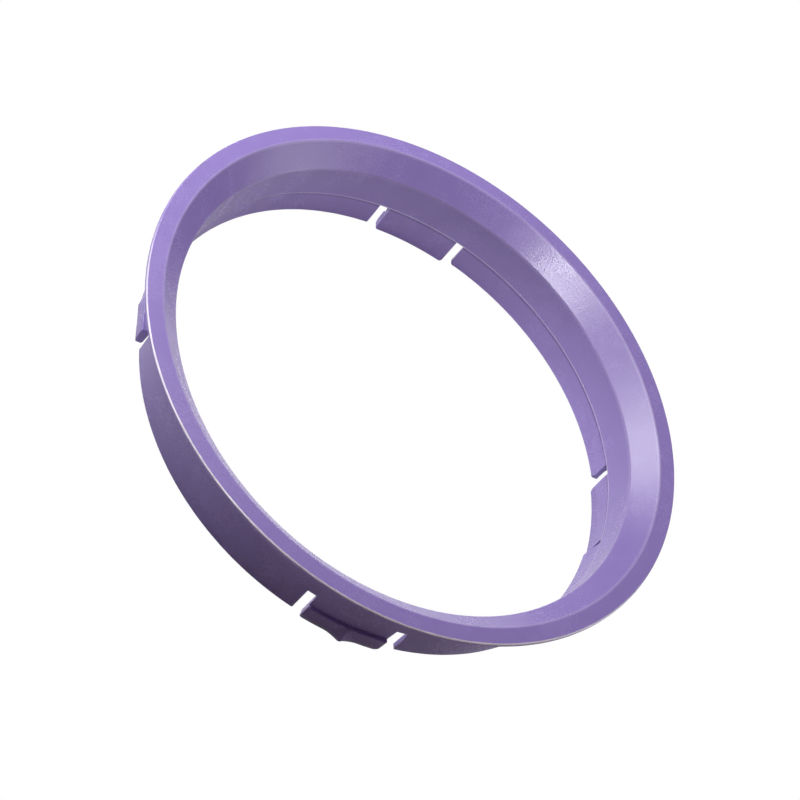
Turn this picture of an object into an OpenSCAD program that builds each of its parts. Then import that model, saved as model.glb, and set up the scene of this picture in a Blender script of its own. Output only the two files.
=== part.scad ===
// Hub centring ring with four snap tabs: one moulded plastic piece.
// It stands on the ends of its tabs, flange up, with its axis on +Z.

/* [Fit] */
// Diameter of the hub spigot the ring slides onto
hub_d = 65.1; // [50:0.1:90]
// How much wider the wheel's centre bore is than the hub, on the diameter
bore_step = 2; // [1.7:0.1:4]
// Play between the hub and the ring's bore, on the diameter
hub_play = 0.1; // [0:0.05:0.3]
// Play between the skirt and the wheel's bore, on the diameter
wheel_play = 0.1; // [0:0.05:0.3]

/* [Flange] */
// How far the flange stands out from the skirt
flange_w = 4.3; // [3.4:0.1:7]
// Height of the upright rim at the flange's edge
rim_h = 0.45; // [0.35:0.05:1]
// Rounding of the rim's upper edge
rim_r = 0.22; // [0.1:0.01:0.3]
// Width of the flat front face of the flange
face_w = 2.3; // [1.2:0.1:2.6]
// Depth of the lead-in chamfer below the front face
lead_h = 2.75; // [1.5:0.05:3]
// Rounding between the front face and the lead-in chamfer
face_edge_r = 0.4; // [0.1:0.05:0.6]
// Rounding between the lead-in chamfer and the bore's land
land_edge_r = 0.5; // [0.1:0.05:0.8]
// Slope of the flange's back seat, measured from the front face
seat_a = 45; // [40:1:48]
// Fillet between the back seat and the skirt
seat_r = 0.5; // [0.2:0.05:0.9]

/* [Bore and skirt] */
// Depth at which the bore's land ends and the recessed skirt starts
land_end = 7.7; // [6:0.05:8]
// Depth of the recess inside the skirt, on the radius
recess = 0.15; // [0.08:0.01:0.2]
// Depth of the plain skirt's free end below the front face
skirt_end = 11.7; // [11:0.05:12]
// Rounding of the skirt segments' lower corners
skirt_corner_r = 0.35; // [0.2:0.05:0.6]

/* [Snap tabs] */
// Number of snap tabs around the skirt
tabs = 4; // [3:1:6]
// Angle from the middle of a tab to the middle of its slot
slot_a = 10.45; // [8:0.05:13]
// Width of the slots beside each tab
slot_w = 1.3; // [0.8:0.05:1.8]
// Distance from the end of the bore's land down to the top of the slots
slot_gap = 0.05; // [0.05:0.05:1]
// Length of a tab beyond the plain skirt's end
tab_extra = 0.65; // [0.3:0.05:1]
// Rounding of the tabs' lower corners
tab_corner_r = 0.75; // [0.3:0.05:0.9]
// Ledge inside the tab where its extra length starts
tab_ledge = 0.06; // [0.02:0.01:0.1]
// Amount the tab's inner face leans outward at its end
tab_lean = 0.12; // [0.11:0.01:0.2]

/* [Snap bead] */
// Height of the bead, from its shoulder down to the tab's end
bead_h = 2.6; // [2:0.05:3]
// Amount the bead's shoulder stands out from the skirt
bead_out = 0.45; // [0.2:0.05:0.7]
// Amount the bead still stands out at the tab's end
bead_end = 0.12; // [0.05:0.01:0.18]
// Rounding of the bead's shoulder
bead_r = 0.15; // [0.08:0.01:0.2]

/* [Bead nib] */
// Amount the nib's crest stands out from the skirt at its middle
nib_out = 0.95; // [0.8:0.05:1.4]
// Amount the crest still stands out at its upper and lower ends
nib_end_out = 0.7; // [0.6:0.05:1.1]
// Distance from the bead's shoulder up to the nib's start
nib_rise = 0.1; // [0:0.05:0.2]
// Distance from the shoulder down to the crest's upper end
nib_slope_h = 0.6; // [0.4:0.05:0.9]
// Distance from the nib's lower face down to the tab's end
nib_gap = 0.15; // [0.1:0.05:0.4]
// Width of the nib's foot at its lower end
nib_w = 4; // [3:0.1:5]
// Offset of the foot from the middle of its tab
nib_shift = 0.25; // [-0.5:0.05:0.5]
// Width of the flat along the crest
crest_w = 0.16; // [0.1:0.02:0.4]

/* [Hidden] */
$fn = 96;
small_fn = 20;
eps = 0.01;
lap = 0.8;

wheel_d = hub_d + bore_step;
bore_r = (hub_d + hub_play) / 2;
skirt_r = (wheel_d - wheel_play) / 2;
recess_r = bore_r + recess;
flange_r = skirt_r + flange_w;
face_r = flange_r - face_w;

tab_end = skirt_end + tab_extra;
top_z = tab_end;
slot_top = land_end + slot_gap;
shoulder = tab_end - bead_h;
seat_end = rim_h + flange_w * tan(seat_a);
wall = skirt_r - recess_r;

// Height above the standing plane of a depth measured from the front face
function z_of(depth) = top_z - depth;

// Unit vector from a to b
function dir(a, b) = (b - a) / norm(b - a);

// Angle of turn at corner b on the way from a to c
function turn_at(a, b, c) = acos(min(1, max(-1, dir(a, b) * dir(b, c))));

// Centre of the circle that rounds corner b between a and c
function round_centre(a, b, c, r) =
    b + (dir(b, a) + dir(b, c)) / norm(dir(b, a) + dir(b, c)) * r / cos(turn_at(a, b, c) / 2);

// The sliver between corner b and the circle that rounds it
module corner(a, b, c, r) {
    t = r * tan(turn_at(a, b, c) / 2);
    difference() {
        polygon([b, b + dir(b, a) * t, b + dir(b, c) * t]);
        translate(round_centre(a, b, c, r)) circle(r = r, $fn = small_fn);
    }
}

// Section of the flange, the bore's land and the plain skirt
module ring_section() {
    rim_top = [flange_r, z_of(0)];
    rim_low = [flange_r, z_of(rim_h)];
    seat_in = [skirt_r, z_of(seat_end)];
    end_out = [skirt_r, z_of(skirt_end)];
    face_in = [face_r, z_of(0)];
    land_top = [bore_r, z_of(lead_h)];
    land_low = [bore_r, z_of(land_end)];
    difference() {
        union() {
            polygon([rim_top, rim_low, seat_in, end_out, [recess_r, z_of(skirt_end)],
                     [recess_r, z_of(land_end)], land_low, land_top, face_in]);
            corner(rim_low, seat_in, end_out, seat_r);
        }
        corner(face_in, rim_top, rim_low, rim_r);
        corner(land_top, face_in, rim_top, face_edge_r);
        corner(land_low, land_top, face_in, land_edge_r);
    }
}

// Section of what a tab adds to the plain skirt: its bead and its extra length,
// with a root that lies inside the skirt's wall
module tab_section() {
    out_top = [skirt_r + bead_out, z_of(shoulder)];
    out_low = [skirt_r + bead_end, z_of(tab_end)];
    in_low = [recess_r + tab_lean, z_of(tab_end)];
    in_top = [recess_r + tab_ledge, z_of(skirt_end)];
    root_in = [recess_r + wall / 2, z_of(skirt_end - wall)];
    root_out = [skirt_r - wall / 3, z_of(shoulder)];
    difference() {
        polygon([root_in, root_out, out_top, out_low, in_low, in_top]);
        corner(root_out, out_top, out_low, bead_r);
    }
}

// Outline of a slot seen along the radius, with x growing away from the tab
module slot_outline() {
    half = slot_w / 2;
    foot = z_of(tab_end) - lap;
    translate([-half, foot]) square([slot_w, z_of(slot_top) - foot]);
    // the tab's rounded corner
    translate([-half, z_of(tab_end)]) difference() {
        translate([-tab_corner_r, -lap]) square([tab_corner_r + eps, tab_corner_r + lap]);
        translate([-tab_corner_r, tab_corner_r]) circle(r = tab_corner_r, $fn = small_fn);
        translate([-tab_corner_r - eps, 0]) square([eps, lap]);
    }
    // the skirt segment's rounded corner
    translate([half, z_of(skirt_end)]) difference() {
        translate([-eps, -lap]) square([skirt_corner_r + eps, skirt_corner_r + lap]);
        translate([skirt_corner_r, skirt_corner_r]) circle(r = skirt_corner_r, $fn = small_fn);
    }
}

// One slot cut through the skirt, on the side given by +1 or -1
module slot_cut(side) {
    rotate(side * slot_a) translate([bore_r - 2, 0, 0])
        rotate([90, 0, 90]) linear_extrude(skirt_r - bore_r + 4)
            scale([side, 1]) slot_outline();
}

// Level slice through the nib: a foot sunk in the wall and a narrow crest outside it
module nib_slice(depth, foot_w, shift, out) {
    root = skirt_r - wall / 2;
    foot = skirt_r + min(bead_end, out);
    left = shift - foot_w / 2;
    right = shift + foot_w / 2;
    translate([0, 0, z_of(depth)]) linear_extrude(eps) polygon([
        [root, left], [foot, left], [skirt_r + out, -crest_w / 2],
        [skirt_r + out, crest_w / 2], [foot, right], [root, right]]);
}

// The nib on the bead: it springs from the wall at the shoulder and widens downward
module nib() {
    start = shoulder - nib_rise;
    crest_top = shoulder + nib_slope_h;
    crest_low = tab_end - nib_gap;
    crest_mid = (crest_top + crest_low) / 2;
    hull() {
        nib_slice(start, crest_w, 0, 2 * eps);
        nib_slice(crest_top, crest_w, 0, nib_end_out);
        nib_slice(crest_mid, (crest_w + nib_w) / 2, nib_shift / 2, nib_out);
        nib_slice(crest_low, nib_w, nib_shift, nib_end_out);
    }
}

// The whole ring
module centring_ring() {
    pitch = 360 / tabs;
    color("MediumPurple") difference() {
        union() {
            rotate_extrude() ring_section();
            for (i = [0 : tabs - 1]) rotate(i * pitch) {
                rotate(-slot_a) rotate_extrude(angle = 2 * slot_a) tab_section();
                nib();
            }
        }
        for (i = [0 : tabs - 1], side = [-1, 1]) rotate(i * pitch) slot_cut(side);
    }
}

centring_ring();
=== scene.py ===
"""A hub centring ring of purple moulded plastic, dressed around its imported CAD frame.

The ring is one moulding. Its body is a section spun about the axis, its four snap tabs are cut out
of the skirt by slots, and each tab carries a bead with a small nib at its middle. All lengths are in
metres, with the axis on +Z, the tabs' ends on the floor and the flange on top.
"""

import logging
import math
from contextlib import contextmanager
from dataclasses import dataclass, field
from enum import Enum
from functools import partial, reduce
from typing import Callable, Iterator

import bmesh
import bpy
from mathutils import Matrix, Vector


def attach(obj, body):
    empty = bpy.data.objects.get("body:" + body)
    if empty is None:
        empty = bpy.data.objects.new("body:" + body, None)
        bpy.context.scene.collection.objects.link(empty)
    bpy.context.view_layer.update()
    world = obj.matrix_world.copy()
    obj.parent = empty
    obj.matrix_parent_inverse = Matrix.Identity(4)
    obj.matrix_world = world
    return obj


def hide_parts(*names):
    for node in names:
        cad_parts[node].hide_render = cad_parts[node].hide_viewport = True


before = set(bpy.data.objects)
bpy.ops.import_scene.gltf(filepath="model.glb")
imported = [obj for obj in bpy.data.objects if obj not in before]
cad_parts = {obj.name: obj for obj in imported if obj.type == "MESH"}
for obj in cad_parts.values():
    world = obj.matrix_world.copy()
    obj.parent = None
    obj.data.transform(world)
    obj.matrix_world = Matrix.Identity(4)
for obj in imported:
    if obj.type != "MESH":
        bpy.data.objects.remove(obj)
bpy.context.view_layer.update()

MM = 0.001
NODE = "centring_ring"

log = logging.getLogger("hub_ring")


class Pick(Enum):
    """What a selection in edit mode is made of."""

    VERTS = (True, False, False)
    EDGES = (False, True, False)
    FACES = (False, False, True)


@contextmanager
def editing(piece: bpy.types.Object, kind: Pick) -> Iterator[None]:
    """Keeps one piece in edit mode for a block of operators.

    Args:
        piece: The mesh object to edit.
        kind: The element type that operators act on.
    """
    take(piece)
    bpy.ops.object.mode_set(mode="EDIT")
    bpy.context.tool_settings.mesh_select_mode = kind.value
    bpy.ops.mesh.select_all(action="DESELECT")
    try:
        yield
    finally:
        bpy.ops.object.mode_set(mode="OBJECT")


def select(piece: bpy.types.Object, kind: Pick, rule: Callable[..., bool]) -> int:
    """Selects the elements of a piece in edit mode that a rule accepts, and no others.

    Args:
        piece: The mesh object that is in edit mode.
        kind: The element type to select.
        rule: Takes one bmesh element and says whether it belongs to the selection.

    Returns:
        The number of elements selected.
    """
    bpy.context.tool_settings.mesh_select_mode = kind.value
    bpy.ops.mesh.select_all(action="DESELECT")
    cage = bmesh.from_edit_mesh(piece.data)
    group = {Pick.VERTS: cage.verts, Pick.EDGES: cage.edges, Pick.FACES: cage.faces}[kind]
    chosen = [element for element in group if rule(element)]
    for element in chosen:
        element.select_set(True)
    cage.select_flush_mode()
    bmesh.update_edit_mesh(piece.data)
    return len(chosen)


def radius_of(point: Vector) -> float:
    """Returns the distance of a point from the ring's axis."""
    return math.hypot(point.x, point.y)


def angle_of(point: Vector) -> float:
    """Returns the angle of a point about the ring's axis, in degrees from 0 to 360."""
    return math.degrees(math.atan2(point.y, point.x)) % 360.0


def centre_of(element: bmesh.types.BMEdge | bmesh.types.BMFace) -> Vector:
    """Returns the mean of an element's corners."""
    return sum((vert.co for vert in element.verts), Vector()) / len(element.verts)


def near(value: float, target: float, slack: float = 0.02 * MM) -> bool:
    """Tells whether a length lies at its target."""
    return abs(value - target) < slack


def take(piece: bpy.types.Object) -> None:
    """Makes a piece the only selected object and the active one."""
    bpy.ops.object.select_all(action="DESELECT")
    piece.select_set(True)
    bpy.context.view_layer.objects.active = piece


def apply_modifiers(piece: bpy.types.Object) -> None:
    """Applies every modifier of a piece in order."""
    take(piece)
    for modifier in list(piece.modifiers):
        bpy.ops.object.modifier_apply(modifier=modifier.name)


def widen(factor: float) -> None:
    """Scales the selection sideways about the ring's axis."""
    bpy.ops.transform.resize(value=(factor, factor, 1.0), center_override=(0.0, 0.0, 0.0))


def bearing(azimuth: float, elevation: float = 0.0) -> Vector:
    """Returns the unit vector at an azimuth and an elevation, in degrees."""
    turn, rise = math.radians(azimuth), math.radians(elevation)
    return Vector((math.cos(rise) * math.cos(turn), math.cos(rise) * math.sin(turn), math.sin(rise)))


@dataclass
class Moulding:
    """The sizes that the ring's sub-assemblies share, in metres, with depths from the front face."""

    flange_radius: float = 37.8 * MM
    bore_radius: float = 32.6 * MM
    skirt_radius: float = 33.5 * MM
    recess_radius: float = 32.75 * MM
    height: float = 12.35 * MM
    land_end: float = 7.85 * MM
    slot_top: float = 7.7 * MM
    slot_top_inside: float = 7.95 * MM
    shoulder: float = 9.7 * MM
    skirt_end: float = 11.7 * MM
    tab_end: float = 12.35 * MM
    tabs: int = 4
    tab_half: float = 9.33
    slot_angle: float = 2.24

    def level(self, depth: float) -> float:
        """Returns the height above the floor of a depth below the front face."""
        return self.height - depth

    def off_tab(self, point: Vector) -> float:
        """Returns a point's angle from the middle of the nearest tab, in degrees."""
        pitch = 360.0 / self.tabs
        return (angle_of(point) + pitch / 2) % pitch - pitch / 2

    def in_slot(self, point: Vector) -> bool:
        """Tells whether a point lies in the angle that a slot takes."""
        return self.tab_half < abs(self.off_tab(point)) < self.tab_half + self.slot_angle

    def below_slot_top(self, point: Vector) -> bool:
        """Tells whether a point of the skirt's inner or outer wall lies lower than the slots' tops."""
        inside = radius_of(point) < (self.skirt_radius + self.recess_radius) / 2
        return point.z < self.level(self.slot_top_inside if inside else self.slot_top)

    def in_tab(self, point: Vector) -> bool:
        """Tells whether a point lies in the angle that a tab takes, its sides included."""
        return abs(self.off_tab(point)) < self.tab_half + 0.1

    def down_skirt(self, point: Vector) -> float:
        """Returns how far down the slotted skirt a point lies, from 0 at the slots' tops to 1."""
        return (self.height - point.z - self.slot_top) / (self.tab_end - self.slot_top)


@dataclass
class RingBody:
    """The flange, bore and skirt, spun in sectors so that the slots' sides fall on columns."""

    mould: Moulding
    rim_height: float = 0.45 * MM
    rim_round: float = 0.22 * MM
    rim_low_round: float = 0.06 * MM
    face_width: float = 2.3 * MM
    face_round: float = 0.4 * MM
    lead_depth: float = 2.75 * MM
    land_round: float = 0.5 * MM
    seat_round: float = 0.5 * MM
    step_height: float = 0.06 * MM
    bead_rows: tuple[float, ...] = (10.1 * MM, 10.5 * MM, 11.0 * MM, 11.5 * MM)
    tab_steps: int = 28
    skirt_steps: int = 52

    def build(self) -> bpy.types.Object:
        """Builds the closed body with its slots open.

        Returns:
            The body, before its tabs are lengthened.
        """
        body = self.draw_section()
        self.round_section(body)
        self.spin_sectors(body)
        self.open_slots(body)
        return body

    def outline(self) -> list[tuple[float, float]]:
        """Lists the section's corners from the rim round to the bore.

        Returns:
            Each corner's radius and depth.
        """
        m = self.mould
        seat_end = self.rim_height + m.flange_radius - m.skirt_radius
        face_radius = m.flange_radius - self.face_width
        return [
            (m.flange_radius, 0.0),
            (m.flange_radius, self.rim_height),
            (m.skirt_radius, seat_end),
            (m.skirt_radius, m.slot_top),
            (m.skirt_radius, m.shoulder),
            *((m.skirt_radius, depth) for depth in self.bead_rows),
            (m.skirt_radius, m.skirt_end),
            (m.recess_radius, m.skirt_end),
            (m.recess_radius, m.shoulder),
            (m.recess_radius, m.slot_top_inside),
            (m.recess_radius, m.land_end + self.step_height / 2),
            (m.bore_radius, m.land_end - self.step_height / 2),
            (m.bore_radius, self.lead_depth),
            (face_radius, 0.0),
        ]

    def draw_section(self) -> bpy.types.Object:
        """Draws the section by extruding one point from corner to corner, and closes it.

        Returns:
            The section, at the first tab's first side.
        """
        m = self.mould
        corners = [Vector((radius, 0.0, m.level(depth))) for radius, depth in self.outline()]
        turned = Matrix.Rotation(math.radians(-m.tab_half), 3, "Z")
        corners = [turned @ corner for corner in corners]
        bpy.ops.mesh.primitive_plane_add(size=MM, location=corners[0])
        body = bpy.context.active_object
        body.name = body.data.name = "ring_moulding"
        bpy.ops.object.transform_apply(location=True, rotation=True, scale=True)
        with editing(body, Pick.VERTS):
            bpy.ops.mesh.select_all(action="SELECT")
            bpy.ops.mesh.merge(type="CENTER")
            for start, end in zip(corners, corners[1:]):
                bpy.ops.mesh.extrude_vertices_move(TRANSFORM_OT_translate={"value": end - start})
            ends = (corners[0], corners[-1])
            select(body, Pick.VERTS, lambda v: any((v.co - end).length < 1e-7 for end in ends))
            bpy.ops.mesh.edge_face_add()
        return body

    def round_section(self, body: bpy.types.Object) -> None:
        """Rounds the section's corners, each with its own radius.

        Args:
            body: The drawn section.
        """
        m = self.mould
        seat_end = self.rim_height + m.flange_radius - m.skirt_radius
        roundings = [
            (m.flange_radius, 0.0, self.rim_round, 4),
            (m.flange_radius, self.rim_height, self.rim_low_round, 2),
            (m.skirt_radius, seat_end, self.seat_round, 4),
            (m.bore_radius, self.lead_depth, self.land_round, 5),
            (m.flange_radius - self.face_width, 0.0, self.face_round, 5),
        ]
        for radius, depth, rounding, steps in roundings:
            with editing(body, Pick.VERTS):
                found = select(body, Pick.VERTS, lambda v: near(radius_of(v.co), radius)
                               and near(v.co.z, m.level(depth)))
                assert found == 1, (radius, depth, found)
                bpy.ops.mesh.bevel(offset=self.cut_back(radius, depth, rounding), offset_type="OFFSET",
                                   segments=steps, profile=0.5, affect="VERTICES")

    def cut_back(self, radius: float, depth: float, rounding: float) -> float:
        """Works out how far from a corner its rounding starts: its radius times tan of half the turn.

        Args:
            radius: The corner's distance from the axis.
            depth: The corner's depth below the front face.
            rounding: The radius of the rounding.

        Returns:
            The distance in metres.
        """
        corners = self.outline()
        i = min(range(len(corners)), key=lambda k: abs(corners[k][0] - radius) + abs(corners[k][1] - depth))
        here = Vector(corners[i])
        before = (here - Vector(corners[i - 1])).normalized()
        after = (Vector(corners[(i + 1) % len(corners)]) - here).normalized()
        return rounding * math.tan(before.angle(after) / 2)

    def spin_sectors(self, body: bpy.types.Object) -> None:
        """Spins the section about the axis, sector by sector, and closes the seam.

        Args:
            body: The rounded section, at the first tab's first side.
        """
        m = self.mould
        skirt_angle = 360.0 / m.tabs - 2 * m.tab_half - 2 * m.slot_angle
        sectors = [(2 * m.tab_half, self.tab_steps), (m.slot_angle, 1),
                   (skirt_angle, self.skirt_steps), (m.slot_angle, 1)]
        with editing(body, Pick.VERTS):
            bpy.ops.mesh.select_all(action="SELECT")
            for _ in range(m.tabs):
                for angle, steps in sectors:
                    bpy.ops.mesh.spin(steps=steps, angle=math.radians(angle), center=(0, 0, 0), axis=(0, 0, -1))
            bpy.ops.mesh.select_all(action="SELECT")
            bpy.ops.mesh.remove_doubles(threshold=0.002 * MM)
            bpy.ops.mesh.normals_make_consistent(inside=False)

    def open_slots(self, body: bpy.types.Object) -> None:
        """Takes the skirt's faces out of the slots and walls each slot's sides and top.

        Args:
            body: The spun body.
        """
        m = self.mould
        with editing(body, Pick.FACES):
            select(body, Pick.FACES, lambda f: m.in_slot(centre_of(f)) and m.below_slot_top(centre_of(f)))
            bpy.ops.mesh.delete(type="FACE")
            for tab in range(m.tabs):
                for side in (-1, 1):
                    middle = (tab * 360.0 / m.tabs + side * (m.tab_half + m.slot_angle / 2)) % 360.0
                    self.wall_slot(body, middle)
            bpy.ops.mesh.select_all(action="SELECT")
            bpy.ops.mesh.normals_make_consistent(inside=False)

    def wall_slot(self, body: bpy.types.Object, middle: float) -> None:
        """Bridges the inner and the outer edge of one slot.

        Args:
            body: The body, whose faces in the slot are gone.
            middle: The angle of the slot's middle, in degrees.
        """
        m = self.mould
        half = m.slot_angle / 2 + 0.1

        def on_edge(edge: bmesh.types.BMEdge) -> bool:
            """Tells whether an edge borders this slot, but not along the skirt's end."""
            off = (angle_of(centre_of(edge)) - middle + 180.0) % 360.0 - 180.0
            radii = [radius_of(v.co) for v in edge.verts]
            return edge.is_boundary and abs(off) < half and abs(radii[0] - radii[1]) < 0.1 * MM

        select(body, Pick.EDGES, on_edge)
        bpy.ops.mesh.bridge_edge_loops()


@dataclass
class SnapTabs:
    """The tabs' extra length, beads, rounded corners and eased edges, all worked on the body."""

    mould: Moulding
    bead_out: float = 0.45 * MM
    bead_end: float = 0.12 * MM
    bead_round: float = 0.15 * MM
    lean: float = 0.12 * MM
    tab_round: float = 0.5 * MM
    crisp_round: float = 0.2 * MM
    worn_round: float = 0.7 * MM
    worn_corners: tuple[float, ...] = (191.57, 258.43)
    edge_ease: float = 0.06 * MM

    def build(self, body: bpy.types.Object) -> None:
        """Works the four tabs out of the slotted skirt.

        Args:
            body: The ring's body, whose slots are open.
        """
        self.lengthen(body)
        self.raise_beads(body)
        self.round_corners(body)
        self.ease_edges(body)

    def lengthen(self, body: bpy.types.Object) -> None:
        """Pulls the tabs' ends below the skirt's, and leans their inner edge outwards."""
        m = self.mould
        with editing(body, Pick.VERTS):
            select(body, Pick.VERTS, lambda v: m.in_tab(v.co) and near(v.co.z, m.level(m.skirt_end)))
            bpy.ops.transform.translate(value=(0.0, 0.0, m.skirt_end - m.tab_end))
            select(body, Pick.VERTS, lambda v: near(v.co.z, m.level(m.tab_end))
                   and near(radius_of(v.co), m.recess_radius))
            widen((m.recess_radius + self.lean) / m.recess_radius)

    def raise_beads(self, body: bpy.types.Object) -> None:
        """Raises the bead on each tab's outer wall and tapers it towards the tab's end."""
        m = self.mould
        top, end = m.skirt_radius + self.bead_out, m.skirt_radius + self.bead_end
        with editing(body, Pick.FACES):
            select(body, Pick.FACES, lambda f: m.in_tab(centre_of(f)) and centre_of(f).z < m.level(m.shoulder)
                   and all(near(radius_of(v.co), m.skirt_radius) for v in f.verts))
            bpy.ops.mesh.extrude_region_move()
            widen(top / m.skirt_radius)
            select(body, Pick.VERTS, lambda v: near(v.co.z, m.level(m.tab_end)) and near(radius_of(v.co), top))
            widen(end / top)
            select(body, Pick.EDGES, lambda e: all(near(v.co.z, m.level(m.shoulder))
                                                   and near(radius_of(v.co), top) for v in e.verts))
            bpy.ops.mesh.bevel(offset=self.bead_round, offset_type="OFFSET", segments=3, affect="EDGES")

    def end_edges(self, depth: float, side: float) -> Callable[[bmesh.types.BMEdge], bool]:
        """Makes a rule for the edges that run through the wall at a corner of the skirt's end.

        Args:
            depth: The depth of the end below the front face.
            side: The corner's angle from the middle of its tab, in degrees.

        Returns:
            The rule, which takes an edge.
        """
        m = self.mould

        def rule(edge: bmesh.types.BMEdge) -> bool:
            """Tells whether an edge is one of these."""
            return all(near(v.co.z, m.level(depth)) and abs(abs(m.off_tab(v.co)) - side) < 0.05
                       for v in edge.verts)

        return rule

    def round_corners(self, body: bpy.types.Object) -> None:
        """Rounds the lower corners of the tabs and of the skirt between them."""
        m = self.mould
        skirt_side = m.tab_half + m.slot_angle
        skirt_corner = self.end_edges(m.skirt_end, skirt_side)

        def worn(edge: bmesh.types.BMEdge) -> bool:
            """Tells whether an edge lies at a corner that the photograph shows worn round."""
            return any(abs(angle_of(centre_of(edge)) - corner) < 1.0 for corner in self.worn_corners)

        with editing(body, Pick.EDGES):
            for rule, rounding in (
                (self.end_edges(m.tab_end, m.tab_half), self.tab_round),
                (lambda e: skirt_corner(e) and worn(e), self.worn_round),
                (skirt_corner, self.crisp_round),
            ):
                select(body, Pick.EDGES, rule)
                bpy.ops.mesh.bevel(offset=rounding, offset_type="OFFSET", segments=6, affect="EDGES",
                                   clamp_overlap=False)

    def ease_edges(self, body: bpy.types.Object) -> None:
        """Softens every sharp edge from the slots' tops down."""
        m = self.mould
        top = m.level(m.slot_top) + 0.01 * MM

        def sharp(edge: bmesh.types.BMEdge) -> bool:
            """Tells whether an edge turns sharply outwards and lies on the slotted skirt."""
            if any(v.co.z > top for v in edge.verts) or len(edge.link_faces) != 2:
                return False
            return edge.is_convex and edge.calc_face_angle() > math.radians(50.0)

        with editing(body, Pick.EDGES):
            select(body, Pick.EDGES, sharp)
            bpy.ops.mesh.bevel(offset=self.edge_ease, offset_type="OFFSET", segments=2, affect="EDGES",
                               clamp_overlap=False)
            bpy.ops.mesh.select_all(action="SELECT")
            bpy.ops.mesh.remove_doubles(threshold=0.004 * MM)


@dataclass(frozen=True)
class Set:
    """A slight set in the moulding: a stretch of skirt that stands out of true, most at its end."""

    first: float
    last: float
    at_first: float
    at_last: float

    def amount(self, mould: Moulding, point: Vector) -> float:
        """Works out how far a point moves away from the axis.

        Args:
            mould: The shared sizes.
            point: A point of the moulding.

        Returns:
            The move in metres.
        """
        across = ((angle_of(point) - self.first) % 360.0) / ((self.last - self.first) % 360.0)
        down = mould.down_skirt(point)
        if across > 1.0 or down <= 0.0:
            return 0.0
        return (self.at_first + (self.at_last - self.at_first) * across) * down


@dataclass(frozen=True)
class Creep:
    """A slot's side that stands a little off its place, with the wall behind it following."""

    side: float
    reach: float
    turn: float
    tapered: bool = False

    def amount(self, mould: Moulding, point: Vector) -> float:
        """Works out how far a point turns about the axis.

        Args:
            mould: The shared sizes.
            point: A point of the moulding.

        Returns:
            The turn in degrees.
        """
        behind = ((angle_of(point) - self.side + 180.0) % 360.0 - 180.0) / self.reach
        down = mould.down_skirt(point)
        if not -0.03 < behind < 1.0 or down < -0.01:
            return 0.0
        return self.turn * min(1.0, 1.0 - behind) * (down if self.tapered else 1.0)


@dataclass
class Shaping:
    """The nibs on the beads and the small errors of the skirt, worked by moving groups of vertices."""

    mould: Moulding
    step_out: float = 0.01 * MM
    step_round: float = 0.02
    crest: float = 0.69 * MM
    crests: tuple[float, ...] = (0.35, 1.3, 0.7, 0.7)
    crest_at: float = 0.65
    nib_left: float = 3.6
    nib_right: float = 4.4
    flank: float = 1.7
    sets: tuple[Set, ...] = (
        Set(350.0, 9.6, 0.36 * MM, 0.0),
        Set(11.2, 45.0, -0.17 * MM, 0.0),
        Set(45.0, 78.8, 0.0, 0.1 * MM),
        Set(101.2, 140.0, -0.2 * MM, -0.25 * MM),
        Set(140.0, 168.8, -0.25 * MM, -0.3 * MM),
        Set(170.4, 189.6, 0.22 * MM, 0.08 * MM),
        Set(191.2, 258.8, 0.12 * MM, -0.1 * MM),
        Set(260.4, 279.6, -0.28 * MM, -0.28 * MM),
        Set(281.2, 340.0, -0.14 * MM, 0.0),
    )
    creeps: tuple[Creep, ...] = (
        Creep(9.33, -7.0, -0.7),
        Creep(11.57, 8.0, -0.5),
        Creep(99.33, -7.0, -0.8, tapered=True),
        Creep(101.57, 8.0, 0.7),
        Creep(168.43, -8.0, 1.0),
        Creep(191.57, 8.0, 0.75),
        Creep(189.33, -7.0, 0.45),
        Creep(260.67, 7.0, -0.2),
        Creep(279.33, -7.0, -0.45),
    )

    def build(self, body: bpy.types.Object) -> None:
        """Works the nibs, the sets and the creeps into the body.

        Args:
            body: The ring's body with its tabs.
        """
        m = self.mould
        self.move(body, self.nib, self.step_out, self.push_out)
        self.move(body, lambda p: sum(s.amount(m, p) for s in self.sets), self.step_out, self.push_out)
        self.move(body, lambda p: sum(c.amount(m, p) for c in self.creeps), self.step_round, self.turn)

    def move(self, body: bpy.types.Object, amount_of: Callable[[Vector], float], step: float,
             mover: Callable[[float], None]) -> None:
        """Moves vertices in groups that share an amount.

        Args:
            body: The mesh to shape.
            amount_of: Gives the amount for a point.
            step: The amount's smallest part.
            mover: Moves the selection by an amount.
        """
        parts = {v.index: round(amount_of(v.co) / step) for v in body.data.vertices}
        with editing(body, Pick.VERTS):
            for part in sorted(set(parts.values()) - {0}):
                select(body, Pick.VERTS, lambda v: parts[v.index] == part)
                mover(part * step)

    def push_out(self, amount: float) -> None:
        """Moves the selection away from the axis."""
        widen(1.0 + amount / self.mould.skirt_radius)

    def turn(self, degrees: float) -> None:
        """Turns the selection about the axis."""
        bpy.ops.transform.rotate(value=-math.radians(degrees), orient_axis="Z",
                                 center_override=(0.0, 0.0, 0.0))

    def nib(self, point: Vector) -> float:
        """Works out how far the nib lifts a point of the bead's face: a crest with hollow flanks.

        Args:
            point: A point of the moulding.

        Returns:
            The lift in metres.
        """
        m = self.mould
        depth = m.height - point.z
        if radius_of(point) < m.skirt_radius + 0.05 * MM or depth < m.shoulder or not m.in_tab(point):
            return 0.0
        off = m.off_tab(point)
        down = (depth - m.shoulder) / (m.tab_end - m.shoulder)
        spread = (self.nib_right if off > 0 else self.nib_left) * (0.35 + 0.65 * down)
        flank = max(0.0, 1.0 - abs(off) / spread) ** self.flank
        rise = 1.0 - ((down - self.crest_at) / self.crest_at) ** 2
        tab = round(angle_of(point) / (360.0 / m.tabs)) % m.tabs
        return self.crest * self.crests[tab] * flank * rise


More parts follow.
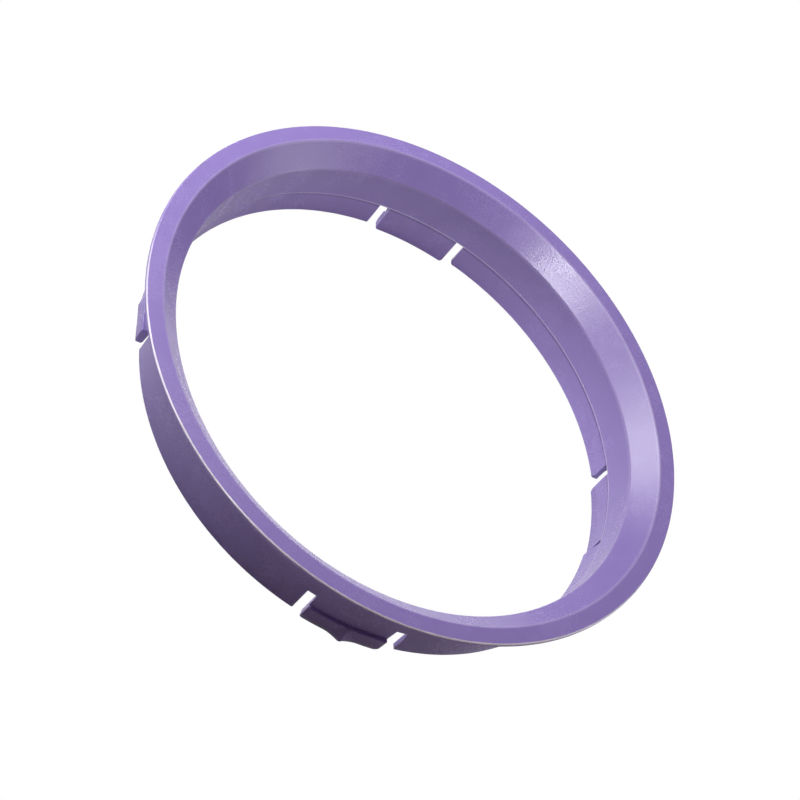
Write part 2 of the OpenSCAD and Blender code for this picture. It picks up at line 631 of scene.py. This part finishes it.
@dataclass(frozen=True)
class Tone:
    """A linear colour."""

    red: float
    green: float
    blue: float

    def rgba(self) -> tuple[float, float, float, float]:
        """Returns the colour with full alpha."""
        return (self.red, self.green, self.blue, 1.0)


def add_node(tree: bpy.types.NodeTree, kind: str, **values: object) -> bpy.types.Node:
    """Adds a node and sets its properties and unlinked inputs by name.

    Args:
        tree: The material's or group's node tree.
        kind: The node's type name.
        values: Properties, and inputs with their spaces as underscores.

    Returns:
        The new node.
    """
    node = tree.nodes.new(kind)
    for name, value in values.items():
        label = name.replace("_", " ")
        socket = next((s for s in node.inputs if s.name.lower() == label.lower()), None)
        if socket is not None and not hasattr(node, name):
            socket.default_value = value
        else:
            setattr(node, name, value)
    return node


def add_group(tree: bpy.types.NodeTree, group: bpy.types.NodeTree, values: dict[str, object]) -> bpy.types.Node:
    """Places a node group and sets its inputs.

    Args:
        tree: The material's node tree.
        group: The group to place.
        values: The inputs' values by label.

    Returns:
        The group's node.
    """
    node = tree.nodes.new("ShaderNodeGroup")
    node.node_tree = group
    for label, value in values.items():
        node.inputs[label].default_value = value
    return node


def calculate(tree: bpy.types.NodeTree, operation: str, *values: object) -> bpy.types.NodeSocket:
    """Adds a Math node.

    Args:
        tree: The material's or group's node tree.
        operation: What the node does.
        values: The sockets or numbers that go into it.

    Returns:
        The node's output.
    """
    node = add_node(tree, "ShaderNodeMath", operation=operation)
    for socket, value in zip(node.inputs, values):
        if isinstance(value, bpy.types.NodeSocket):
            tree.links.new(value, socket)
        else:
            socket.default_value = value
    return node.outputs["Value"]


def strongest(tree: bpy.types.NodeTree, masks: list[bpy.types.NodeSocket]) -> bpy.types.NodeSocket:
    """Returns the greatest of some masks at each point."""
    return reduce(partial(calculate, tree, "MAXIMUM"), masks)


@dataclass(frozen=True)
class MouldedSkin:
    """The surface of the moulding, as one node group: fine grain, worn smooth on one side, and flow marks."""

    name: str = "moulded_skin"
    grain_reach: float = 0.025
    mark_reach: float = 0.035
    smooth_share: float = 0.08
    worn_side: float = 70.0
    worn_share: float = 0.12
    worn_from: float = -5.0 * MM
    worn_to: float = 12.0 * MM

    def group(self) -> bpy.types.NodeTree:
        """Builds the group.

        Returns:
            The group, which puts out a colour, a roughness and a height.
        """
        tree = bpy.data.node_groups.new(self.name, "ShaderNodeTree")
        sockets = tree.interface
        sockets.new_socket("Colour", in_out="INPUT", socket_type="NodeSocketColor")
        sockets.new_socket("Marks", in_out="INPUT", socket_type="NodeSocketColor")
        for label, value in (("Grain Size", 4200.0), ("Mark Size", 130.0), ("Roughness", 0.3),
                             ("Smooth Below", 9.3 * MM), ("Coarse Above", 9.8 * MM)):
            sockets.new_socket(label, in_out="INPUT", socket_type="NodeSocketFloat").default_value = value
        sockets.new_socket("Colour", in_out="OUTPUT", socket_type="NodeSocketColor")
        sockets.new_socket("Roughness", in_out="OUTPUT", socket_type="NodeSocketFloat")
        sockets.new_socket("Height", in_out="OUTPUT", socket_type="NodeSocketFloat")
        link = tree.links.new
        given = tree.nodes.new("NodeGroupInput")
        out = tree.nodes.new("NodeGroupOutput")
        place = tree.nodes.new("ShaderNodeTexCoord")
        grain = add_node(tree, "ShaderNodeTexNoise", Detail=3.0, Roughness=0.6)
        marks = add_node(tree, "ShaderNodeTexNoise", Detail=4.0, Roughness=0.55, Distortion=0.6)
        for noise, size in ((grain, "Grain Size"), (marks, "Mark Size")):
            link(place.outputs["Object"], noise.inputs["Vector"])
            link(given.outputs[size], noise.inputs["Scale"])
        blotch = add_node(tree, "ShaderNodeMapRange", From_Min=0.35, From_Max=0.75)
        link(marks.outputs["Fac"], blotch.inputs["Value"])
        mix = add_node(tree, "ShaderNodeMix", data_type="RGBA")
        link(blotch.outputs["Result"], mix.inputs["Factor"])
        link(given.outputs["Colour"], mix.inputs["A"])
        link(given.outputs["Marks"], mix.inputs["B"])
        link(mix.outputs["Result"], out.inputs["Colour"])
        rough = given.outputs["Roughness"]
        for noise, reach in ((grain, self.grain_reach), (marks, self.mark_reach)):
            spread = add_node(tree, "ShaderNodeMapRange", From_Min=0.3, From_Max=0.7, To_Min=-reach, To_Max=reach)
            link(noise.outputs["Fac"], spread.inputs["Value"])
            rough = calculate(tree, "ADD", rough, spread.outputs["Result"])
        link(rough, out.inputs["Roughness"])
        split = tree.nodes.new("ShaderNodeSeparateXYZ")
        link(place.outputs["Object"], split.inputs["Vector"])
        fade = add_node(tree, "ShaderNodeMapRange", To_Min=self.smooth_share, To_Max=1.0)
        link(split.outputs["Z"], fade.inputs["Value"])
        link(given.outputs["Smooth Below"], fade.inputs["From Min"])
        link(given.outputs["Coarse Above"], fade.inputs["From Max"])
        toward = add_node(tree, "ShaderNodeVectorMath", operation="DOT_PRODUCT")
        toward.inputs[1].default_value = bearing(self.worn_side)
        link(place.outputs["Object"], toward.inputs[0])
        worn = add_node(tree, "ShaderNodeMapRange", From_Min=self.worn_from, From_Max=self.worn_to,
                        To_Min=1.0, To_Max=self.worn_share)
        link(toward.outputs["Value"], worn.inputs["Value"])
        height = grain.outputs["Fac"]
        for factor in (fade, worn):
            height = calculate(tree, "MULTIPLY", height, factor.outputs["Result"])
        link(height, out.inputs["Height"])
        return tree


@dataclass(frozen=True)
class EdgeLine:
    """One turned edge of the ring, where a painted line of highlight or shade runs: a circle about the axis."""

    radius: float
    height: float
    width: float
    strength: float
    side: float | None = None

    def values(self) -> dict[str, float]:
        """Works out the values for the node group's inputs.

        Returns:
            The values by label, with the side as a direction that the mask favours: the lit side, where the
            painted highlight is strongest.
        """
        level, reach, side = (1.0, 0.0, 0.0) if self.side is None else (-0.3, 2.0, self.side)
        favour = bearing(side) * reach
        return {"Radius": self.radius, "Height": self.height, "Width": self.width, "Strength": self.strength,
                "Level": level, "Side X": favour.x, "Side Y": favour.y}


@dataclass(frozen=True)
class TurnedEdge:
    """A ragged mask along one turned edge, as one node group, for painting a highlight or a shade line on it."""

    name: str = "turned_edge"
    rag_scale: float = 700.0

    def group(self) -> bpy.types.NodeTree:
        """Builds the group.

        Returns:
            The group, whose mask is strongest on the edge's circle.
        """
        tree = bpy.data.node_groups.new(self.name, "ShaderNodeTree")
        for label in ("Radius", "Height", "Width", "Strength", "Level", "Side X", "Side Y"):
            tree.interface.new_socket(label, in_out="INPUT", socket_type="NodeSocketFloat")
        tree.interface.new_socket("Mask", in_out="OUTPUT", socket_type="NodeSocketFloat")
        given = tree.nodes.new("NodeGroupInput")
        out = tree.nodes.new("NodeGroupOutput")
        place = tree.nodes.new("ShaderNodeTexCoord")
        split = tree.nodes.new("ShaderNodeSeparateXYZ")
        tree.links.new(place.outputs["Object"], split.inputs["Vector"])

        work = partial(calculate, tree)
        x, y, z = (split.outputs[axis] for axis in "XYZ")
        radius = work("SQRT", work("ADD", work("MULTIPLY", x, x), work("MULTIPLY", y, y)))
        across = work("SUBTRACT", radius, given.outputs["Radius"])
        along = work("SUBTRACT", z, given.outputs["Height"])
        away = work("SQRT", work("ADD", work("MULTIPLY", across, across), work("MULTIPLY", along, along)))
        rags = add_node(tree, "ShaderNodeTexNoise", Scale=self.rag_scale, Detail=3.0, Roughness=0.6)
        tree.links.new(place.outputs["Object"], rags.inputs["Vector"])
        reach = work("MULTIPLY", given.outputs["Width"], work("ADD", rags.outputs["Fac"], 0.5))
        left = work("SUBTRACT", 1.0, work("DIVIDE", away, reach))
        ridge = work("MINIMUM", work("MULTIPLY", work("MAXIMUM", left, 0.0), 2.0), 1.0)
        toward = work("ADD", work("MULTIPLY", x, given.outputs["Side X"]),
                      work("MULTIPLY", y, given.outputs["Side Y"]))
        share = work("ADD", work("DIVIDE", toward, radius), given.outputs["Level"])
        share = work("MINIMUM", work("MAXIMUM", share, 0.0), 1.0)
        mask = work("MULTIPLY", work("MULTIPLY", ridge, share), given.outputs["Strength"])
        tree.links.new(mask, out.inputs["Mask"])
        return tree


@dataclass(frozen=True)
class PaintedLightWall:
    """A mask of painted light on the skirt's inner side, lighter towards its end and towards one side of the ring,
    as one node group.
    """

    name: str = "painted_light_wall"
    outer: float = 32.88 * MM
    top: float = 9.9 * MM
    side: float = 290.0
    side_reach: float = 27.0 * MM

    def group(self) -> bpy.types.NodeTree:
        """Builds the group.

        Returns:
            The group, whose mask grows towards the skirt's end and towards one side of the ring.
        """
        tree = bpy.data.node_groups.new(self.name, "ShaderNodeTree")
        tree.interface.new_socket("Share", in_out="INPUT", socket_type="NodeSocketFloat")
        tree.interface.new_socket("Mask", in_out="OUTPUT", socket_type="NodeSocketFloat")
        given = tree.nodes.new("NodeGroupInput")
        out = tree.nodes.new("NodeGroupOutput")
        place = tree.nodes.new("ShaderNodeTexCoord")
        split = tree.nodes.new("ShaderNodeSeparateXYZ")
        tree.links.new(place.outputs["Object"], split.inputs["Vector"])
        level = add_node(tree, "ShaderNodeVectorMath", operation="MULTIPLY")
        level.inputs[1].default_value = (1.0, 1.0, 0.0)
        tree.links.new(place.outputs["Object"], level.inputs[0])
        radius = add_node(tree, "ShaderNodeVectorMath", operation="LENGTH")
        tree.links.new(level.outputs["Vector"], radius.inputs[0])
        inside = calculate(tree, "LESS_THAN", radius.outputs["Value"], self.outer)
        down = add_node(tree, "ShaderNodeMapRange", From_Max=self.top, To_Min=1.0, To_Max=0.0)
        tree.links.new(split.outputs["Z"], down.inputs["Value"])
        toward = add_node(tree, "ShaderNodeVectorMath", operation="DOT_PRODUCT")
        toward.inputs[1].default_value = bearing(self.side)
        tree.links.new(place.outputs["Object"], toward.inputs[0])
        lit = add_node(tree, "ShaderNodeMapRange", From_Min=-self.side_reach, From_Max=self.side_reach)
        tree.links.new(toward.outputs["Value"], lit.inputs["Value"])
        mask = inside
        for factor in (down.outputs["Result"], lit.outputs["Result"], given.outputs["Share"]):
            mask = calculate(tree, "MULTIPLY", mask, factor)
        tree.links.new(mask, out.inputs["Mask"])
        return tree


@dataclass(frozen=True)
class PurplePlastic:
    """Solid purple moulded plastic with a satin skin, with painted highlights along its edges, painted shade under
    the step and painted light on the skirt's inner side.
    """

    base: Tone = Tone(0.265, 0.193, 0.490)
    marks: Tone = Tone(0.280, 0.206, 0.510)
    # A near-white colour for painted highlights.
    painted_highlight: Tone = Tone(0.960, 0.900, 1.000)
    roughness: float = 0.26
    grain_depth: float = 0.03 * MM
    # Painted highlights: near-white lines along the rim's rounding, the face's inner edge, the land's edge and the
    # step. The rim's line is strongest on the lit side at 75 degrees.
    edges: tuple[EdgeLine, ...] = (
        EdgeLine(37.74 * MM, 12.31 * MM, 0.15 * MM, 1.0, side=75.0),
        EdgeLine(35.45 * MM, 12.33 * MM, 0.3 * MM, 0.1),
        EdgeLine(35.36 * MM, 12.3 * MM, 0.1 * MM, 0.3, side=75.0),
        EdgeLine(32.66 * MM, 9.55 * MM, 0.3 * MM, 0.08),
        EdgeLine(32.6 * MM, 4.56 * MM, 0.15 * MM, 0.55),
    )
    # Painted shade: a dark line in the recess just under the step at the land's end.
    shade_lines: tuple[EdgeLine, ...] = (
        EdgeLine(32.77 * MM, 4.17 * MM, 0.18 * MM, 0.45),
    )
    # The colour of the painted shade line.
    painted_shade: Tone = Tone(0.120, 0.075, 0.260)
    # Painted light: a lighter tone laid on the skirt's inner side, strongest towards its end and towards the side
    # at 290 degrees.
    painted_light: Tone = Tone(0.560, 0.420, 0.900)
    painted_light_share: float = 0.42
    # Painted highlights: small bright spots on the step at these angles.
    highlight_spots: tuple[float, ...] = (213.7, 240.8, 303.8)
    highlight_spot_size: float = 0.22 * MM
    highlight_spot_radius: float = 32.65 * MM
    highlight_spot_height: float = 4.6 * MM

    def material(self, skin: bpy.types.NodeTree, edge: bpy.types.NodeTree,
                 wall: bpy.types.NodeTree) -> bpy.types.Material:
        """Builds the material.

        Args:
            skin: The node group of the moulded surface.
            edge: The node group of a turned edge.
            wall: The node group of the painted light on the skirt's inner side.

        Returns:
            The material, ready for the ring.
        """
        plastic = bpy.data.materials.new("purple_plastic")
        plastic.use_nodes = True
        tree = plastic.node_tree
        shader = tree.nodes["Principled BSDF"]
        surface = add_group(tree, skin, {"Colour": self.base.rgba(), "Marks": self.marks.rgba(),
                                         "Roughness": self.roughness})
        painted_light_wall = add_group(tree, wall, {"Share": self.painted_light_share})
        colour = surface.outputs["Colour"]
        # Over the plastic's colour go painted light on the skirt's inner side, a painted shade line under the
        # step, painted highlight lines along the edges and painted highlight spots on the step.
        for mask, tone in ((painted_light_wall.outputs["Mask"], self.painted_light),
                           (self.mask(tree, edge, self.shade_lines), self.painted_shade),
                           (self.mask(tree, edge, self.edges), self.painted_highlight),
                           (self.highlight_spot_mask(tree), self.painted_highlight)):
            tint = add_node(tree, "ShaderNodeMix", data_type="RGBA")
            tint.inputs["B"].default_value = tone.rgba()
            tree.links.new(colour, tint.inputs["A"])
            tree.links.new(mask, tint.inputs["Factor"])
            colour = tint.outputs["Result"]
        bump = add_node(tree, "ShaderNodeBump", Strength=1.0, Distance=self.grain_depth)
        tree.links.new(colour, shader.inputs["Base Color"])
        tree.links.new(surface.outputs["Roughness"], shader.inputs["Roughness"])
        tree.links.new(surface.outputs["Height"], bump.inputs["Height"])
        tree.links.new(bump.outputs["Normal"], shader.inputs["Normal"])
        shader.inputs["IOR"].default_value = 1.5
        return plastic

    def highlight_spot_mask(self, tree: bpy.types.NodeTree) -> bpy.types.NodeSocket:
        """Paints small highlight spots on the step at the land's end.

        Args:
            tree: The material's node tree.

        Returns:
            The mask, which falls off round each spot.
        """
        place = tree.nodes.new("ShaderNodeTexCoord")
        masks = []
        for angle in self.highlight_spots:
            away = add_node(tree, "ShaderNodeVectorMath", operation="DISTANCE")
            away.inputs[1].default_value = bearing(angle) * self.highlight_spot_radius + Vector((0.0, 0.0, self.highlight_spot_height))
            tree.links.new(place.outputs["Object"], away.inputs[0])
            fall = add_node(tree, "ShaderNodeMapRange", From_Max=self.highlight_spot_size, To_Min=1.0, To_Max=0.0)
            tree.links.new(away.outputs["Value"], fall.inputs["Value"])
            masks.append(fall.outputs["Result"])
        return strongest(tree, masks)

    def mask(self, tree: bpy.types.NodeTree, edge: bpy.types.NodeTree,
             lines: tuple[EdgeLine, ...]) -> bpy.types.NodeSocket:
        """Places the masks of some edges.

        Args:
            tree: The material's node tree.
            edge: The node group of a turned edge.
            lines: The edges.

        Returns:
            The strongest of the masks at each point.
        """
        return strongest(tree, [add_group(tree, edge, line.values()).outputs["Mask"] for line in lines])


@dataclass(frozen=True)
class Lamp:
    """A soft round lamp that faces the ring."""

    name: str
    azimuth: float
    elevation: float
    watts: float
    size: float = 0.1
    distance: float = 0.17
    glossy_only: bool = False
    warmth: float = 0.0

    def place(self, aim: Vector) -> bpy.types.Object:
        """Hangs the lamp.

        Args:
            aim: The point that it faces.

        Returns:
            The lamp's object.
        """
        data = bpy.data.lights.new(self.name, "AREA")
        data.shape, data.size, data.energy = "DISK", self.size, self.watts
        data.color = (1.0, 1.0 - self.warmth, 1.0 - self.warmth)
        lamp = bpy.data.objects.new(self.name, data)
        lamp.visible_diffuse = not self.glossy_only
        bpy.context.collection.objects.link(lamp)
        away = bearing(self.azimuth, self.elevation)
        lamp.location = aim + away * self.distance
        lamp.rotation_euler = away.to_track_quat("Z", "Y").to_euler()
        return lamp


@dataclass
class Studio:
    """A white sweep, soft lamps and the camera at the photograph's angle."""

    floor_size: float = 8.0
    lens: float = 108.0
    sensor: float = 36.0
    azimuth: float = 64.760
    elevation: float = 43.938
    roll: float = 43.689
    distance: float = 297.996 * MM
    aim: Vector = field(default_factory=lambda: Vector((1.086, 3.033, 9.022)) * MM)
    lamps: tuple[Lamp, ...] = (
        Lamp("key", 315.0, 40.0, 0.225),
        Lamp("side", 0.0, 40.0, 0.085),
        Lamp("top", 300.0, 65.0, 0.078),
        Lamp("rear", 180.0, 40.0, 0.040),
        Lamp("low", 180.0, 15.0, 0.075),
        Lamp("warm", 105.0, 12.0, 0.007, warmth=0.85),
        Lamp("glint", 46.0, 53.2, 1.5, 0.055, 0.5, glossy_only=True),
    )
    sky: float = 0.02
    floor_tone: float = 0.8
    floor_sheen: float = 0.2

    def build(self) -> None:
        """Builds the floor, the sky, the lamps and the camera."""
        self.lay_floor()
        self.light_sky()
        for lamp in self.lamps:
            lamp.place(self.aim)
        self.set_camera()
        bpy.context.scene.view_settings.view_transform = "Standard"

    def lay_floor(self) -> None:
        """Lays a white floor that stays white where the camera sees it."""
        bpy.ops.mesh.primitive_plane_add(size=self.floor_size)
        floor = bpy.context.active_object
        floor.name = "studio_floor"
        paper = bpy.data.materials.new("white_paper")
        paper.use_nodes = True
        tree = paper.node_tree
        shader = tree.nodes["Principled BSDF"]
        shader.inputs["Base Color"].default_value = (self.floor_tone,) * 3 + (1.0,)
        shader.inputs["Roughness"].default_value = 1.0
        shader.inputs["Specular IOR Level"].default_value = 0.0
        glow = add_node(tree, "ShaderNodeEmission", Strength=1.0)
        path = tree.nodes.new("ShaderNodeLightPath")
        mix = tree.nodes.new("ShaderNodeMixShader")
        share = add_node(tree, "ShaderNodeMath", operation="MULTIPLY_ADD")
        share.inputs[1].default_value = self.floor_sheen
        tree.links.new(path.outputs["Is Glossy Ray"], share.inputs[0])
        tree.links.new(path.outputs["Is Camera Ray"], share.inputs[2])
        tree.links.new(share.outputs["Value"], mix.inputs["Fac"])
        tree.links.new(shader.outputs["BSDF"], mix.inputs[1])
        tree.links.new(glow.outputs["Emission"], mix.inputs[2])
        tree.links.new(mix.outputs["Shader"], tree.nodes["Material Output"].inputs["Surface"])
        floor.data.materials.append(paper)

    def light_sky(self) -> None:
        """Makes the sky white to the camera and dimmer as a light."""
        world = bpy.data.worlds.new("studio_sky")
        bpy.context.scene.world = world
        world.use_nodes = True
        tree = world.node_tree
        path = tree.nodes.new("ShaderNodeLightPath")
        level = add_node(tree, "ShaderNodeMapRange", To_Min=self.sky, To_Max=1.0)
        tree.links.new(path.outputs["Is Camera Ray"], level.inputs["Value"])
        tree.links.new(level.outputs["Result"], tree.nodes["Background"].inputs["Strength"])
        tree.nodes["Background"].inputs["Color"].default_value = (1.0, 1.0, 1.0, 1.0)

    def set_camera(self) -> None:
        """Sets up the camera from its angles about the ring."""
        data = bpy.data.cameras.new("photo_camera")
        data.lens, data.sensor_width = self.lens, self.sensor
        data.clip_start, data.clip_end = 0.01, 20.0
        camera = bpy.data.objects.new("photo_camera", data)
        bpy.context.collection.objects.link(camera)
        away = bearing(self.azimuth, self.elevation)
        level = Vector((0.0, 0.0, 1.0)).cross(away).normalized()
        tip = Matrix.Rotation(math.radians(self.roll), 3, away)
        right = tip @ level
        camera.matrix_world = look_from(self.aim + away * self.distance, right, away.cross(right))
        bpy.context.scene.camera = camera


def look_from(spot: Vector, right: Vector, up: Vector) -> Matrix:
    """Works out the place of a camera that looks along its own -Z.

    Args:
        spot: Where it stands.
        right: The direction of its picture's right.
        up: The direction of its picture's top.

    Returns:
        The camera's matrix in the world.
    """
    turn = Matrix((right, up, right.cross(up))).transposed().to_4x4()
    return Matrix.Translation(spot) @ turn


def smooth(piece: bpy.types.Object, degrees: float = 32.0) -> None:
    """Shades a piece smooth, sharp where it turns more than an angle, and keeps wide faces flat.

    Args:
        piece: The mesh object.
        degrees: The largest turn that is shaded smooth.
    """
    take(piece)
    bpy.ops.object.shade_smooth_by_angle(angle=math.radians(degrees))
    weighted = piece.modifiers.new("flat_faces", "WEIGHTED_NORMAL")
    weighted.keep_sharp = True
    weighted.weight = 90
    apply_modifiers(piece)


def main() -> None:
    """Builds the ring and its studio, and reports each piece."""
    logging.basicConfig(level=logging.INFO, format="%(name)s: %(message)s")
    mould = Moulding()
    body = RingBody(mould).build()
    SnapTabs(mould).build(body)
    Shaping(mould).build(body)
    smooth(body)
    body.data.materials.clear()
    skin, edge, wall = MouldedSkin().group(), TurnedEdge().group(), PaintedLightWall().group()
    body.data.materials.append(PurplePlastic().material(skin, edge, wall))
    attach(body, "root")
    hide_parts(NODE)
    log.info("%s: %d faces", body.name, len(body.data.polygons))
    Studio().build()


if __name__ == "__main__":
    main()
